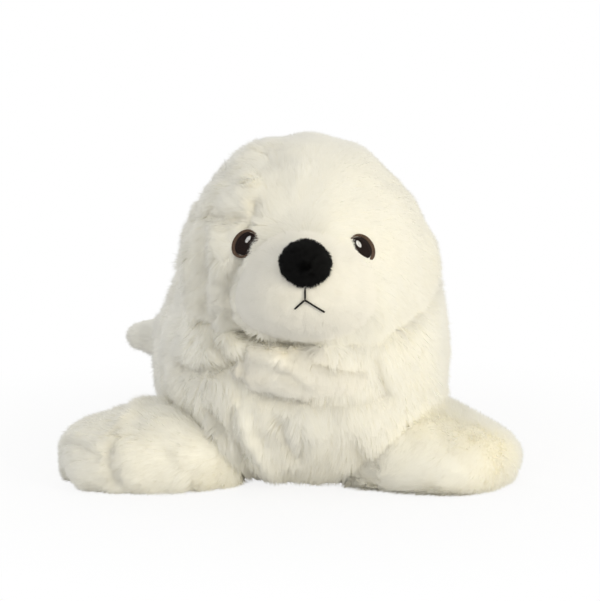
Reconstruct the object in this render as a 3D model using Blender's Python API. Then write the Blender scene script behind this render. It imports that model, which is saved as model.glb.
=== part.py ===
"""Plush seal pup, lying on its belly with its head up: a stuffed toy sewn from white pile fabric.

The seal faces -Y and its back is up, along +Z. The origin is on the flat of the belly, where the toy
rests on a table. Each sewn and separately stuffed piece is one object, and so is each field of
embroidery thread. Right and left are the seal's own. Lengths are in metres.
"""

import math

import bmesh
import bpy
from mathutils import Matrix, Vector, noise

MM = 0.001

# Sewing
SEAM_GAP = 0.3 * MM  # air between two pieces that are sewn against each other
TABLE_Z = 0.0  # height of the table, which flattens what lies on it

# Body: a bag of stuffing along Y, wide at the shoulders and slim at the rump
CHEST_Y = -110 * MM
BODY_LENGTH = 222 * MM
SHOULDER_WIDTH = 150 * MM
SHOULDER_SPINE_Z = 60 * MM
SHOULDER_RISE = 70 * MM  # from the spine line up to the back
SHOULDER_DROP = 74 * MM  # from the spine line down to the belly, before the table flattens it
RUMP_WIDTH = 94 * MM
RUMP_SPINE_Z = 38 * MM
RUMP_RISE = 28 * MM
RUMP_DROP = 44 * MM
RUMP_SWING = -40 * MM  # the hind end is set down to the seal's right
TAPER_START = 0.32  # share of the body's length at which the shoulders begin to taper
BODY_BLUNTNESS = 0.38  # 0 gives an egg's ends, near 1 a flat end
BODY_SQUARENESS = 2.5  # 2 gives an oval section, more a squarer one

# Head: a ball cut off by the neck seam
HEAD_WIDTH = 126 * MM
HEAD_DEPTH = 118 * MM
HEAD_HEIGHT = 148 * MM
HEAD_OVERHANG = 3 * MM  # how far the head's front stands ahead of the chest
HEAD_RISE = 39 * MM  # from the shoulders' spine line up to the middle of the head
NECK_SEAM_DROP = 2 * MM  # from the middle of the head down to the neck seam
NECK_SEAM_TILT = math.radians(20)  # the seam climbs towards the back of the head

# Muzzle: a short-pile bulge, slimmer at the top, with a fold of the same pile under the chin
MUZZLE_WIDTH = 80 * MM
MUZZLE_DEPTH = 68 * MM
MUZZLE_HEIGHT = 56 * MM
MUZZLE_REACH = 19 * MM  # how far the muzzle's front stands ahead of the head's
MUZZLE_RISE = 6 * MM  # from the middle of the head up to the middle of the muzzle
MUZZLE_SLIMNESS = 0.3  # share of its width that the muzzle loses towards its top
CHIN_WIDTH = 71 * MM
CHIN_DEPTH = 26 * MM
CHIN_HEIGHT = 34 * MM
CHIN_TUCK = 4 * MM  # how far the fold reaches up behind the chin
CHIN_REACH = 3 * MM  # how far the fold's front stands ahead of the head's

# Nose: a padded disc of black pile
NOSE_WIDTH = 24 * MM
NOSE_HEIGHT = 24 * MM
NOSE_THICKNESS = 12 * MM
NOSE_RISE = 14 * MM  # from the middle of the muzzle up to the middle of the nose
NOSE_TILT = math.radians(24)  # the nose looks a little upwards

# Eyes: embroidered ovals that lean together at the top. The muzzle's edge covers a little of each.
EYE_LENGTH = 15.2 * MM
EYE_BREADTH = 12.4 * MM
EYE_LEAN = math.radians(38)
EYE_SPACING = 56 * MM
EYE_SHIFT = 0.8 * MM  # both eyes are sewn this far to the seal's right
EYE_RISE = 25 * MM  # from the middle of the head up to the eyes
EYE_UNEVENNESS = 2 * MM  # the seal's right eye sits this much higher
EYE_RIM = 1.5 * MM  # breadth of the brown rim round the pupil
PUPIL_SHIFT = 0.6 * MM  # from the middle of the eye towards the nose
GLINT_WIDTH = 2.7 * MM
GLINT_HEIGHT = 4.1 * MM
GLINT_SHIFT = 2.0 * MM  # from the middle of the eye towards the nose
GLINT_RISE = 2.0 * MM
THREAD_LAYER = 1.2 * MM  # height of the embroidery over the fabric

# Mouth: three stitched strokes
MOUTH_THREAD = 0.9 * MM
MOUTH_STEM_LENGTH = 5.2 * MM  # from the lower edge of the nose to the fork
MOUTH_RIGHT_REACH = 4.8 * MM
MOUTH_RIGHT_DROP = 4.0 * MM
MOUTH_LEFT_REACH = 9.2 * MM
MOUTH_LEFT_DROP = 5.8 * MM

# Fore flippers: broad blunt paddles that lie on the table
FORE_LENGTH = 94 * MM
FORE_BREADTH = 80 * MM
FORE_ROOT_THICKNESS = 62 * MM
FORE_TIP_THICKNESS = 43 * MM
FORE_MIDDLE_Z = 11 * MM
FORE_BLUNTNESS = 0.44  # as for the body's ends
FORE_BACKSET = 45 * MM  # from the chest's front back to the middle of each flipper
FORE_RIGHT_OUT = 75.5 * MM  # from the middle of the body out to the middle of the flipper
FORE_RIGHT_SPLAY = math.radians(8)  # from straight sideways towards the front
FORE_LEFT_OUT = 59.5 * MM
FORE_LEFT_SPLAY = math.radians(30)

# Hind flippers: two slimmer paddles at the rump
HIND_LENGTH = 84 * MM
HIND_BREADTH = 50 * MM
HIND_ROOT_THICKNESS = 30 * MM
HIND_TIP_THICKNESS = 22 * MM
HIND_BLUNTNESS = 0.3  # as for the body's ends
HIND_SPACING = 52 * MM
HIND_SPLAY = math.radians(42)  # from straight sideways towards the back

# Folds: the long-pile covers lie in soft folds, less so on the smooth face and chest
FOLD_SPACING = 18 * MM
FOLD_HEIGHT = 4 * MM  # of the highest folds, from valley to top
SMOOTH_FACE_FOLDS = 0.1  # share of that height on the face
SMOOTH_CHEST_FOLDS = 0.4  # share of that height on the chest and the seal's left side

# Tufts: mounds of longer pile on the head. Each runs between two places on the head's front, given as
# shares of the head's half width to the seal's left and of its half height up from the head's middle.
TUFT_REACH = 9 * MM
TUFT_HEIGHT = 3 * MM
BROW_TUFT = ((-0.67, 0.60), (-0.43, 0.67))
CHEEK_TUFT = ((-0.66, 0.43), (-0.66, 0.23))
EAR_TUFT = ((-0.90, 0.14), (-0.76, -0.41))
LEFT_CHEEK_TUFT = ((0.46, 0.16), (0.53, -0.19))
TUFTS = (BROW_TUFT, CHEEK_TUFT, EAR_TUFT, LEFT_CHEEK_TUFT)

# Fineness of the meshes
COVER_SEGMENTS = 64
COVER_RINGS = 40
BALL_SEGMENTS = 32
BALL_RINGS = 20
PADDLE_SEGMENTS = 24
PADDLE_RINGS = 14
OVAL_SEGMENTS = 28
THREAD_POINTS = 7

# Places that follow from the sizes
HEAD_Y = CHEST_Y - HEAD_OVERHANG + HEAD_DEPTH / 2
HEAD_Z = SHOULDER_SPINE_Z + HEAD_RISE
HEAD_FRONT_Y = HEAD_Y - HEAD_DEPTH / 2
MUZZLE_Y = HEAD_FRONT_Y - MUZZLE_REACH + MUZZLE_DEPTH / 2
MUZZLE_Z = HEAD_Z + MUZZLE_RISE
CHIN_Y = HEAD_FRONT_Y - CHIN_REACH + CHIN_DEPTH / 2
CHIN_Z = MUZZLE_Z - MUZZLE_HEIGHT / 2 + CHIN_TUCK - CHIN_HEIGHT / 2
NOSE_Z = MUZZLE_Z + NOSE_RISE
EYE_Z = HEAD_Z + EYE_RISE

WHITE = (0.86, 0.84, 0.78, 1)
SHORT_WHITE = (0.84, 0.82, 0.76, 1)
BLACK = (0.010, 0.009, 0.009, 1)
DARK_BROWN = (0.022, 0.010, 0.006, 1)
BROWN = (0.12, 0.070, 0.042, 1)
BRIGHT_WHITE = (0.88, 0.87, 0.86, 1)


def clear_scene():
    """Removes every object, so that the script can be run again."""
    for old in list(bpy.data.objects):
        bpy.data.objects.remove(old)


def new_collection(name):
    made = bpy.data.collections.new(name)
    bpy.context.scene.collection.children.link(made)
    return made


def fabric(name, colour, roughness):
    """A Principled material for a pile fabric or a thread."""
    made = bpy.data.materials.new(name)
    made.use_nodes = True
    shader = made.node_tree.nodes["Principled BSDF"]
    shader.inputs["Base Color"].default_value = colour
    shader.inputs["Roughness"].default_value = roughness
    shader.inputs["Metallic"].default_value = 0.0
    return made


def smoothstep(share):
    held = min(1.0, max(0.0, share))
    return held * held * (3 - 2 * held)


def blend(start, end, share):
    return start + (end - start) * share


def new_object(name, bm, collection, material=None):
    """Turns a bmesh into a smooth-shaded object in a collection."""
    bmesh.ops.recalc_face_normals(bm, faces=bm.faces)
    mesh = bpy.data.meshes.new(name)
    bm.to_mesh(mesh)
    bm.free()
    mesh.shade_smooth()
    mesh.set_sharp_from_angle(angle=math.radians(40))
    made = bpy.data.objects.new(name, mesh)
    collection.objects.link(made)
    if material:
        mesh.materials.append(material)
    return made


def unit_ball(segments, rings):
    """A ball of radius 1 whose poles lie on Y, so that its rings can be given sizes along Y."""
    bm = bmesh.new()
    stand = Matrix.Rotation(math.radians(90), 4, "X")
    bmesh.ops.create_uvsphere(bm, u_segments=segments, v_segments=rings, radius=1, matrix=stand)
    return bm


def cut_flat(bm, point, normal):
    """Cuts away what lies beyond a plane, if anything does, and closes the cut with one flat face."""
    geometry = bm.verts[:] + bm.edges[:] + bm.faces[:]
    bmesh.ops.bisect_plane(
        bm, geom=geometry, plane_co=point, plane_no=normal, dist=1e-7, clear_outer=True
    )
    rim = [edge for edge in bm.edges if edge.is_boundary]
    if rim:
        bmesh.ops.edgeloop_fill(bm, edges=rim)


def lie_on_table(bm):
    """Flattens what would be below the table."""
    cut_flat(bm, (0, 0, TABLE_Z), (0, 0, -1))


def keep_to_side(bm, side, middle_x):
    """Flattens a flipper where it would press against the one on the other side."""
    cut_flat(bm, (middle_x + side * SEAM_GAP / 2, 0, 0), (-side, 0, 0))


def stuffed_out(unit, bluntness):
    """X and Z of a point of the unit ball, moved out where stuffing fills a bag's blunt ends."""
    ring = math.hypot(unit.x, unit.z)
    full = ring**-bluntness if ring > 1e-6 else 0.0
    return unit.x * full, unit.z * full


def squared(x, z, squareness):
    """X and Z of a point of a round section, moved out to a section with fuller corners."""
    ring = math.hypot(x, z)
    if ring < 1e-6:
        return x, z
    reach = (abs(x / ring) ** squareness + abs(z / ring) ** squareness) ** (-1 / squareness)
    return x * reach, z * reach


def body_point(unit):
    """Where a point of the unit ball lies on the body's cover."""
    along = (unit.y + 1) / 2
    taper = smoothstep((along - TAPER_START) / (1 - TAPER_START))
    x, z = squared(*stuffed_out(unit, BODY_BLUNTNESS), BODY_SQUARENESS)
    width = blend(SHOULDER_WIDTH, RUMP_WIDTH, taper)
    rise = blend(SHOULDER_RISE, RUMP_RISE, taper)
    drop = blend(SHOULDER_DROP, RUMP_DROP, taper)
    spine_z = blend(SHOULDER_SPINE_Z, RUMP_SPINE_Z, taper)
    return Vector((
        RUMP_SWING * taper + x * width / 2,
        CHEST_Y + along * BODY_LENGTH,
        spine_z + z * (rise if z > 0 else drop),
    ))


def raise_cover(bm, units, height_at):
    """Moves each point of a cover outwards, by a height that goes with its place and its unit ball point.

    The faces are cut into triangles, so that a grown copy of the cover keeps the same gap all over.
    """
    bm.normal_update()
    for vertex, unit in zip(bm.verts, units):
        vertex.co += vertex.normal * height_at(vertex.co, unit)
    bmesh.ops.triangulate(bm, faces=bm.faces)


def fold_height(place):
    """Height of the soft folds at a place, above or below the plain cover."""
    return FOLD_HEIGHT * noise.noise(place / FOLD_SPACING)


def body_height(place, unit):
    """The body's folds, which are low on the chest and the seal's left and full at the back and right."""
    loose = max(smoothstep(0.3 - unit.x), smoothstep(unit.y + 0.7))
    return fold_height(place) * blend(SMOOTH_CHEST_FOLDS, 1, loose)


def body_form():
    bm = unit_ball(COVER_SEGMENTS, COVER_RINGS)
    units = [vertex.co.copy() for vertex in bm.verts]
    for vertex, unit in zip(bm.verts, units):
        vertex.co = body_point(unit)
    raise_cover(bm, units, body_height)
    return bm


def egg_form(width, depth, height, centre):
    """A small egg of the given width, depth and height about its centre."""
    bm = unit_ball(PADDLE_SEGMENTS, PADDLE_RINGS)
    half_sizes = Vector((width, depth, height)) / 2
    for vertex in bm.verts:
        vertex.co = Vector(centre) + vertex.co * half_sizes
    return bm


def head_place(across, up):
    """The place on the head's front at those shares of its half width and half height."""
    ahead = math.sqrt(max(0.0, 1 - across**2 - up**2))
    return Vector((across * HEAD_WIDTH / 2, HEAD_Y - ahead * HEAD_DEPTH / 2, HEAD_Z + up * HEAD_HEIGHT / 2))


def tuft_height(place):
    """Height of the highest tuft at a place. Each fades with the distance from its run."""
    highest = 0.0
    for start, end in TUFTS:
        first = head_place(*start)
        run = head_place(*end) - first
        share = min(1.0, max(0.0, (place - first).dot(run) / run.length_squared))
        far = (first + run * share - place).length
        highest = max(highest, TUFT_HEIGHT * math.exp(-((far / TUFT_REACH) ** 2)))
    return highest


def head_height(place, unit):
    """The head's folds and tufts, which leave the face and the fabric round each eye smooth."""
    loose = max(smoothstep((-unit.x - 0.25) / 0.4), smoothstep(unit.y + 0.8))
    folds = fold_height(place) * blend(SMOOTH_FACE_FOLDS, 1, loose)
    eye_distance = min((place - eye_place(side)).length for side in (-1, 1))
    clear_of_eyes = smoothstep(2 * eye_distance / EYE_LENGTH - 1)
    return (folds + tuft_height(place)) * clear_of_eyes


def head_form():
    bm = unit_ball(COVER_SEGMENTS, COVER_RINGS)
    half_sizes = Vector((HEAD_WIDTH, HEAD_DEPTH, HEAD_HEIGHT)) / 2
    units = [vertex.co.copy() for vertex in bm.verts]
    for vertex, unit in zip(bm.verts, units):
        vertex.co = Vector((0, HEAD_Y, HEAD_Z)) + unit * half_sizes
    raise_cover(bm, units, head_height)
    return bm


def muzzle_width_at(unit_z):
    """Width of the muzzle's full ring at a height given from -1 at its bottom to 1 at its top."""
    return MUZZLE_WIDTH * (1 - MUZZLE_SLIMNESS * smoothstep((unit_z + 1) / 2))


def muzzle_form():
    bm = unit_ball(BALL_SEGMENTS, BALL_RINGS)
    for vertex in bm.verts:
        unit = vertex.co.copy()
        vertex.co = (
            unit.x * muzzle_width_at(unit.z) / 2,
            MUZZLE_Y + unit.y * MUZZLE_DEPTH / 2,
            MUZZLE_Z + unit.z * MUZZLE_HEIGHT / 2,
        )
    return bm


def paddle_form(length, breadth, root_thickness, tip_thickness, bluntness, place, heading):
    """A stuffed paddle whose tip points along its heading, counted from +Y about Z."""
    bm = unit_ball(PADDLE_SEGMENTS, PADDLE_RINGS)
    turn = Matrix.Translation(place) @ Matrix.Rotation(heading, 4, "Z")
    for vertex in bm.verts:
        along = (vertex.co.y + 1) / 2
        x, z = stuffed_out(vertex.co, bluntness)
        thickness = blend(root_thickness, tip_thickness, smoothstep(along))
        local = Vector((x * breadth / 2, vertex.co.y * length / 2, z * thickness / 2))
        vertex.co = turn @ local
    return bm


def oval_rod(length, breadth, lean, centre, outward):
    """A rod of oval section through a surface, long enough to be trimmed by it on both sides."""
    bm = bmesh.new()
    bmesh.ops.create_cone(
        bm, cap_ends=True, segments=OVAL_SEGMENTS, radius1=0.5, radius2=0.5, depth=EYE_LENGTH
    )
    size = Matrix.Diagonal((breadth, length, 1, 1))
    aim = outward.to_track_quat("Z", "Y").to_matrix().to_4x4()
    turn = Matrix.Translation(centre) @ aim @ Matrix.Rotation(lean, 4, "Z")
    bmesh.ops.transform(bm, matrix=turn @ size, verts=bm.verts)
    return bm


def as_cutter(name, bm, offset=0.0):
    """A hidden object for Booleans, grown outwards by an offset."""
    cutter = new_object(name, bm, cutters)
    cutter.hide_render = True
    cutter.display_type = "WIRE"
    if offset:
        grow = cutter.modifiers.new("offset", "DISPLACE")
        grow.strength = offset
        grow.mid_level = 0.0
    return cutter


def trim(piece, operation, cutter):
    """Adds one exact Boolean to a piece."""
    boolean = piece.modifiers.new(cutter.name, "BOOLEAN")
    boolean.operation = operation
    boolean.solver = "EXACT"
    boolean.object = cutter


def head_front_y(x, z):
    """Y of the head's front at a given x and z."""
    inside = 1 - (2 * x / HEAD_WIDTH) ** 2 - (2 * (z - HEAD_Z) / HEAD_HEIGHT) ** 2
    return HEAD_Y - HEAD_DEPTH / 2 * math.sqrt(max(0.0, inside))


def muzzle_front_y(x, z):
    """Y of the muzzle's front at a given x and z."""
    unit_z = 2 * (z - MUZZLE_Z) / MUZZLE_HEIGHT
    inside = 1 - (2 * x / muzzle_width_at(unit_z)) ** 2 - unit_z**2
    return MUZZLE_Y - MUZZLE_DEPTH / 2 * math.sqrt(max(0.0, inside))


def eye_place(side, inward=0.0, rise=0.0):
    """The middle of an eye on the head's plain front, moved towards the nose and upwards."""
    x = side * (EYE_SPACING / 2 - inward) - EYE_SHIFT
    z = EYE_Z - side * EYE_UNEVENNESS / 2 + rise
    return Vector((x, head_front_y(x, z), z))


def head_normal(point):
    """The outward direction of the head's cover at a point on it."""
    away = point - Vector((0, HEAD_Y, HEAD_Z))
    steep = Vector((away.x / HEAD_WIDTH**2, away.y / HEAD_DEPTH**2, away.z / HEAD_HEIGHT**2))
    return steep.normalized()


def neck_plane(shift):
    """A point and the upward normal of the neck seam, shifted along that normal."""
    normal = Vector((0, -math.sin(NECK_SEAM_TILT), math.cos(NECK_SEAM_TILT)))
    return Vector((0, HEAD_Y, HEAD_Z - NECK_SEAM_DROP)) + normal * shift, normal


def build_body():
    bm = body_form()
    lie_on_table(bm)
    cut_flat(bm, *neck_plane(0))
    new_object("body", bm, parts, long_pile)


def build_head():
    bm = head_form()
    point, normal = neck_plane(SEAM_GAP)
    cut_flat(bm, point, -normal)
    new_object("head", bm, parts, long_pile)


def build_muzzle():
    muzzle = new_object("muzzle", muzzle_form(), parts, short_pile)
    trim(muzzle, "DIFFERENCE", grown_head)
    trim(muzzle, "DIFFERENCE", grown_body)


def build_chin_fold():
    """The fold of pile that fills the throat below the muzzle."""
    centre = (0, CHIN_Y, CHIN_Z)
    bm = egg_form(CHIN_WIDTH, CHIN_DEPTH, CHIN_HEIGHT, centre)
    fold = new_object("chin_fold", bm, parts, short_pile)
    trim(fold, "DIFFERENCE", grown_muzzle)
    trim(fold, "DIFFERENCE", grown_head)
    trim(fold, "DIFFERENCE", grown_body)


def build_nose():
    bm = egg_form(NOSE_WIDTH, NOSE_THICKNESS, NOSE_HEIGHT, (0, 0, 0))
    centre = Vector((0, muzzle_front_y(0, NOSE_Z), NOSE_Z))
    tilt = Matrix.Translation(centre) @ Matrix.Rotation(-NOSE_TILT, 4, "X")
    bmesh.ops.transform(bm, matrix=tilt, verts=bm.verts)
    nose = new_object("nose", bm, parts, nose_pile)
    trim(nose, "DIFFERENCE", grown_muzzle)


def eye_rod(side, length, breadth, inward=0.0, rise=0.0):
    """An oval rod through the head's cover at an eye, moved towards the nose and upwards."""
    place = eye_place(side, inward, rise)
    return oval_rod(length, breadth, side * EYE_LEAN, place, head_normal(place))


def build_thread_field(name, rod, material, hole=None):
    """A field of embroidery: a rod kept only where the thread lies on the head's cover."""
    field = new_object(name, rod, parts, material)
    trim(field, "INTERSECT", thread_top)
    trim(field, "DIFFERENCE", grown_head)
    trim(field, "DIFFERENCE", grown_muzzle)
    if hole:
        trim(field, "DIFFERENCE", hole)


def build_eye(word, side):
    """The brown rim, the dark pupil inside it and the white glint inside the pupil."""
    room = 2 * SEAM_GAP
    pupil_length = EYE_LENGTH - 2 * EYE_RIM
    pupil_breadth = EYE_BREADTH - 2 * EYE_RIM
    pupil_hole = as_cutter(
        f"pupil_hole_{word}",
        eye_rod(side, pupil_length + room, pupil_breadth + room, PUPIL_SHIFT),
    )
    glint_hole = as_cutter(
        f"glint_hole_{word}",
        eye_rod(side, GLINT_HEIGHT + room, GLINT_WIDTH + room, GLINT_SHIFT, GLINT_RISE),
    )
    rim = eye_rod(side, EYE_LENGTH, EYE_BREADTH)
    pupil = eye_rod(side, pupil_length, pupil_breadth, PUPIL_SHIFT)
    glint = eye_rod(side, GLINT_HEIGHT, GLINT_WIDTH, GLINT_SHIFT, GLINT_RISE)
    build_thread_field(f"eye_rim_{word}", rim, brown_thread, pupil_hole)
    build_thread_field(f"eye_pupil_{word}", pupil, dark_thread, glint_hole)
    build_thread_field(f"eye_glint_{word}", glint, white_thread)


def build_mouth_stroke(name, start, end):
    """A stitched line that follows the muzzle from one (x, z) to another."""
    curve = bpy.data.curves.new(name, "CURVE")
    curve.dimensions = "3D"
    curve.bevel_depth = MOUTH_THREAD / 2
    curve.bevel_resolution = 2
    curve.use_fill_caps = True
    line = curve.splines.new("POLY")
    line.points.add(THREAD_POINTS - 1)
    for index, point in enumerate(line.points):
        share = index / (THREAD_POINTS - 1)
        x = blend(start[0], end[0], share)
        z = blend(start[1], end[1], share)
        y = muzzle_front_y(x, z) - MOUTH_THREAD / 2 - SEAM_GAP
        point.co = (x, y, z, 1)
    curve.materials.append(mouth_thread)
    parts.objects.link(bpy.data.objects.new(name, curve))


def nose_bottom_z():
    """Height of the lowest point of the tilted nose."""
    upright = NOSE_HEIGHT / 2 * math.cos(NOSE_TILT)
    across = NOSE_THICKNESS / 2 * math.sin(NOSE_TILT)
    return NOSE_Z - math.hypot(upright, across)


def build_mouth():
    clear = MOUTH_THREAD + SEAM_GAP  # so that the strokes end beside the fork and not in each other
    stem_top = nose_bottom_z() - SEAM_GAP
    fork_z = stem_top - MOUTH_STEM_LENGTH
    build_mouth_stroke("mouth_stem", (0, stem_top), (0, fork_z + clear))
    for word, side, reach, drop in (
        ("right", -1, MOUTH_RIGHT_REACH, MOUTH_RIGHT_DROP),
        ("left", 1, MOUTH_LEFT_REACH, MOUTH_LEFT_DROP),
    ):
        build_mouth_stroke(f"mouth_{word}", (side * clear / 2, fork_z), (side * reach, fork_z - drop))


def build_fore_flipper(word, side, out, splay):
    """A fore flipper that lies on the table and is sewn to the shoulder."""
    bm = paddle_form(
        FORE_LENGTH,
        FORE_BREADTH,
        FORE_ROOT_THICKNESS,
        FORE_TIP_THICKNESS,
        FORE_BLUNTNESS,
        (side * out, CHEST_Y + FORE_BACKSET, FORE_MIDDLE_Z),
        -side * (math.radians(90) + splay),
    )
    lie_on_table(bm)
    flipper = new_object(f"fore_flipper_{word}", bm, parts, long_pile)
    trim(flipper, "DIFFERENCE", grown_body)


def build_hind_flipper(word, side):
    """A hind flipper that is sewn to the end of the rump."""
    bm = paddle_form(
        HIND_LENGTH,
        HIND_BREADTH,
        HIND_ROOT_THICKNESS,
        HIND_TIP_THICKNESS,
        HIND_BLUNTNESS,
        (RUMP_SWING + side * HIND_SPACING / 2, CHEST_Y + BODY_LENGTH, RUMP_SPINE_Z),
        -side * (math.radians(90) - HIND_SPLAY),
    )
    keep_to_side(bm, side, RUMP_SWING)
    flipper = new_object(f"hind_flipper_{word}", bm, parts, long_pile)
    trim(flipper, "DIFFERENCE", grown_body)


clear_scene()
parts = new_collection("plush_seal")
cutters = new_collection("cutters")

long_pile = fabric("long white pile", WHITE, 0.95)
short_pile = fabric("short white pile", SHORT_WHITE, 0.9)
nose_pile = fabric("black nose pile", BLACK, 0.85)
mouth_thread = fabric("black mouth thread", BLACK, 0.55)
brown_thread = fabric("brown eye thread", BROWN, 0.5)
dark_thread = fabric("dark eye thread", DARK_BROWN, 0.45)
white_thread = fabric("white eye thread", BRIGHT_WHITE, 0.45)

grown_body = as_cutter("grown_body", body_form(), SEAM_GAP)
grown_head = as_cutter("grown_head", head_form(), SEAM_GAP)
grown_muzzle = as_cutter("grown_muzzle", muzzle_form(), SEAM_GAP)
thread_top = as_cutter("thread_top", head_form(), SEAM_GAP + THREAD_LAYER)

build_body()
build_head()
build_muzzle()
build_chin_fold()
build_nose()
for word, side in (("right", -1), ("left", 1)):
    build_eye(word, side)
    build_hind_flipper(word, side)
build_mouth()
build_fore_flipper("right", -1, FORE_RIGHT_OUT, FORE_RIGHT_SPLAY)
build_fore_flipper("left", 1, FORE_LEFT_OUT, FORE_LEFT_SPLAY)
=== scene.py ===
# %% [markdown]
# # A stuffed seal pup in white pile
# The real toy is sewn from white pile fabric and filled with fibre. It lies on its belly, its head is
# up, and its eyes and mouth are stitched in thread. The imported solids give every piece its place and
# size, so they are loaded first and never moved. Their box is kept, to compare it at the end.

# %% Load the solids
import math

import bpy
import numpy as np
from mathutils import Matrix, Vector, noise
from mathutils.bvhtree import BVHTree
from mathutils.kdtree import KDTree


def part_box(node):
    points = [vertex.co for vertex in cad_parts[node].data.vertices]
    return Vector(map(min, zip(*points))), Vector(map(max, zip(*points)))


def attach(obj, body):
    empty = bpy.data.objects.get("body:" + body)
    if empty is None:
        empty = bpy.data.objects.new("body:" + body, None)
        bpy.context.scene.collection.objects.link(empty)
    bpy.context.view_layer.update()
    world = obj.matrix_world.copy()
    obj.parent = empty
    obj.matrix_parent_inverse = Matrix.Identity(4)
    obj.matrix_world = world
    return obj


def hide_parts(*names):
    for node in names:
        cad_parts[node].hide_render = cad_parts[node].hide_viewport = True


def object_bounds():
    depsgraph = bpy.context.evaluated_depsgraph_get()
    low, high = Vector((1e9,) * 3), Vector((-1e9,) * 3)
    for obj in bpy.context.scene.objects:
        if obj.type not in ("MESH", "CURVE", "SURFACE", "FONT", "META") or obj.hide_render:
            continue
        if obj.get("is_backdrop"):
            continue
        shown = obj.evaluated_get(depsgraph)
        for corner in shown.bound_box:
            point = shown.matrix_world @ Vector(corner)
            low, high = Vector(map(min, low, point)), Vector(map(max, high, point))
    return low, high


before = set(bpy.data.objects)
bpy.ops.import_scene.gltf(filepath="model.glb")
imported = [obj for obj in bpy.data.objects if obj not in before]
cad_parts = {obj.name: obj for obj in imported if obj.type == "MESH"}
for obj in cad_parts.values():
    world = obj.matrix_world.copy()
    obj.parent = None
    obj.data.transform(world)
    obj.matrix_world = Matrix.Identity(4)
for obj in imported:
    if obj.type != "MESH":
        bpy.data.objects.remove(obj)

MM = 0.001
cad_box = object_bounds()
print("solids:", len(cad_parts), "box", [round(s / MM, 1) for s in cad_box[1] - cad_box[0]], "mm")

# %% [markdown]
# ## The camera
# The photo was taken a little above the toy, straight at its face, from about a metre away. A camera
# needs a point to look at, a distance, a height and a lens. The lens follows from how many pixels of
# the photo one metre covers at that distance, and a small shift puts the toy where the photo has it.

# %% Place the camera
LOOKED_AT = Vector((0, -70, 85)) * MM
EYE_DISTANCE = 1.1
EYE_ELEVATION = math.radians(10)
PHOTO_WIDTH, PHOTO_HEIGHT = 600, 601
PIXELS_A_METRE = 2000
CENTRE_ACROSS, CENTRE_DOWN = 305, 314

to_right = Vector((1, 0, 0))
to_eye = Vector((0, -math.cos(EYE_ELEVATION), math.sin(EYE_ELEVATION)))
to_top = to_eye.cross(to_right)
eye_point = LOOKED_AT + to_eye * EYE_DISTANCE

lens = bpy.data.cameras.new("camera")
lens.lens = lens.sensor_width * EYE_DISTANCE * PIXELS_A_METRE / PHOTO_HEIGHT
lens.shift_x = (PHOTO_WIDTH / 2 - CENTRE_ACROSS) / PHOTO_HEIGHT
lens.shift_y = (CENTRE_DOWN - PHOTO_HEIGHT / 2) / PHOTO_HEIGHT
camera = bpy.data.objects.new("camera", lens)
camera.location = eye_point
camera.rotation_euler = (math.pi / 2 - EYE_ELEVATION, 0, 0)
bpy.context.scene.collection.objects.link(camera)
bpy.context.scene.camera = camera
bpy.context.scene.view_settings.view_transform = "Standard"
print("lens", round(lens.lens, 1), "mm")

# %% [markdown]
# ## Shader sums as plain Python
# A finish is a small net of nodes. Wiring each node by hand hides what the net works out, so two small
# classes let a sum be written as a sum. A Wire is one output of a node, and adding or multiplying it
# makes the Math node. A Finish is one material, and its add method makes any other node.


# %% Write shader sums
class Wire:
    """One output of a node. Python's sums on it become Math nodes."""

    def __init__(self, finish, socket):
        self.finish, self.socket = finish, socket

    def maths(self, operation, first, second):
        return self.finish.add("ShaderNodeMath", {"operation": operation}, {0: first, 1: second})

    def __add__(self, other):
        return self.maths("ADD", self, other)

    def __sub__(self, other):
        return self.maths("SUBTRACT", self, other)

    def __rsub__(self, other):
        return self.maths("SUBTRACT", other, self)

    def __mul__(self, other):
        return self.maths("MULTIPLY", self, other)

    __radd__ = __add__
    __rmul__ = __mul__


class Finish:
    """One material. add makes a node from its type, its settings and what its sockets get."""

    def __init__(self, name):
        self.material = bpy.data.materials.new(name)
        self.material.use_nodes = True
        self.tree = self.material.node_tree
        self.tree.nodes.clear()

    def add(self, kind, settings=None, sockets=None, out=0):
        node = self.tree.nodes.new(kind)
        for name, value in (settings or {}).items():
            setattr(node, name, value)
        for name, value in (sockets or {}).items():
            if isinstance(value, Wire):
                self.tree.links.new(value.socket, node.inputs[name])
            else:
                node.inputs[name].default_value = value
        return Wire(self, node.outputs[out]) if node.outputs else node

    def noise(self, size, detail=2.0, place=None):
        """Soft random spots of about that size in metres, from 0 to 1."""
        place = place or self.add("ShaderNodeTexCoord", out=3)
        return self.add("ShaderNodeTexNoise", None, {"Vector": place, "Scale": 1 / size, "Detail": detail})

    def mixed(self, share, first, second):
        """A colour between two, by share from 0 to 1."""
        settings = {"data_type": "RGBA"}
        return self.add("ShaderNodeMix", settings, {0: share, 6: first, 7: second}, out=2)

    def cloth(self, lets_through=None, **sockets):
        """The shader itself, for fabric and thread. Names are the sockets' own, with _ for a space."""
        named = {name.replace("_", " "): value for name, value in sockets.items()}
        shader = self.add("ShaderNodeBsdfPrincipled", None, named)
        if lets_through:
            glow = self.add("ShaderNodeBsdfTranslucent", None, {"Color": named["Base Color"]})
            side = self.add("ShaderNodeNewGeometry")
            behind = Wire(self, side.socket.node.outputs["Backfacing"])
            shader = self.add("ShaderNodeMixShader", None, {0: behind, 1: shader, 2: glow})
            path = self.add("ShaderNodeLightPath")
            lamp_ray = Wire(self, path.socket.node.outputs["Is Shadow Ray"])
            clear = self.add("ShaderNodeBsdfTransparent", None, {"Color": lets_through})
            shader = self.add("ShaderNodeMixShader", None, {0: lamp_ray, 1: shader, 2: clear})
        self.add("ShaderNodeOutputMaterial", None, {"Surface": shader})
        return self.material


print("shader classes ready")

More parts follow.
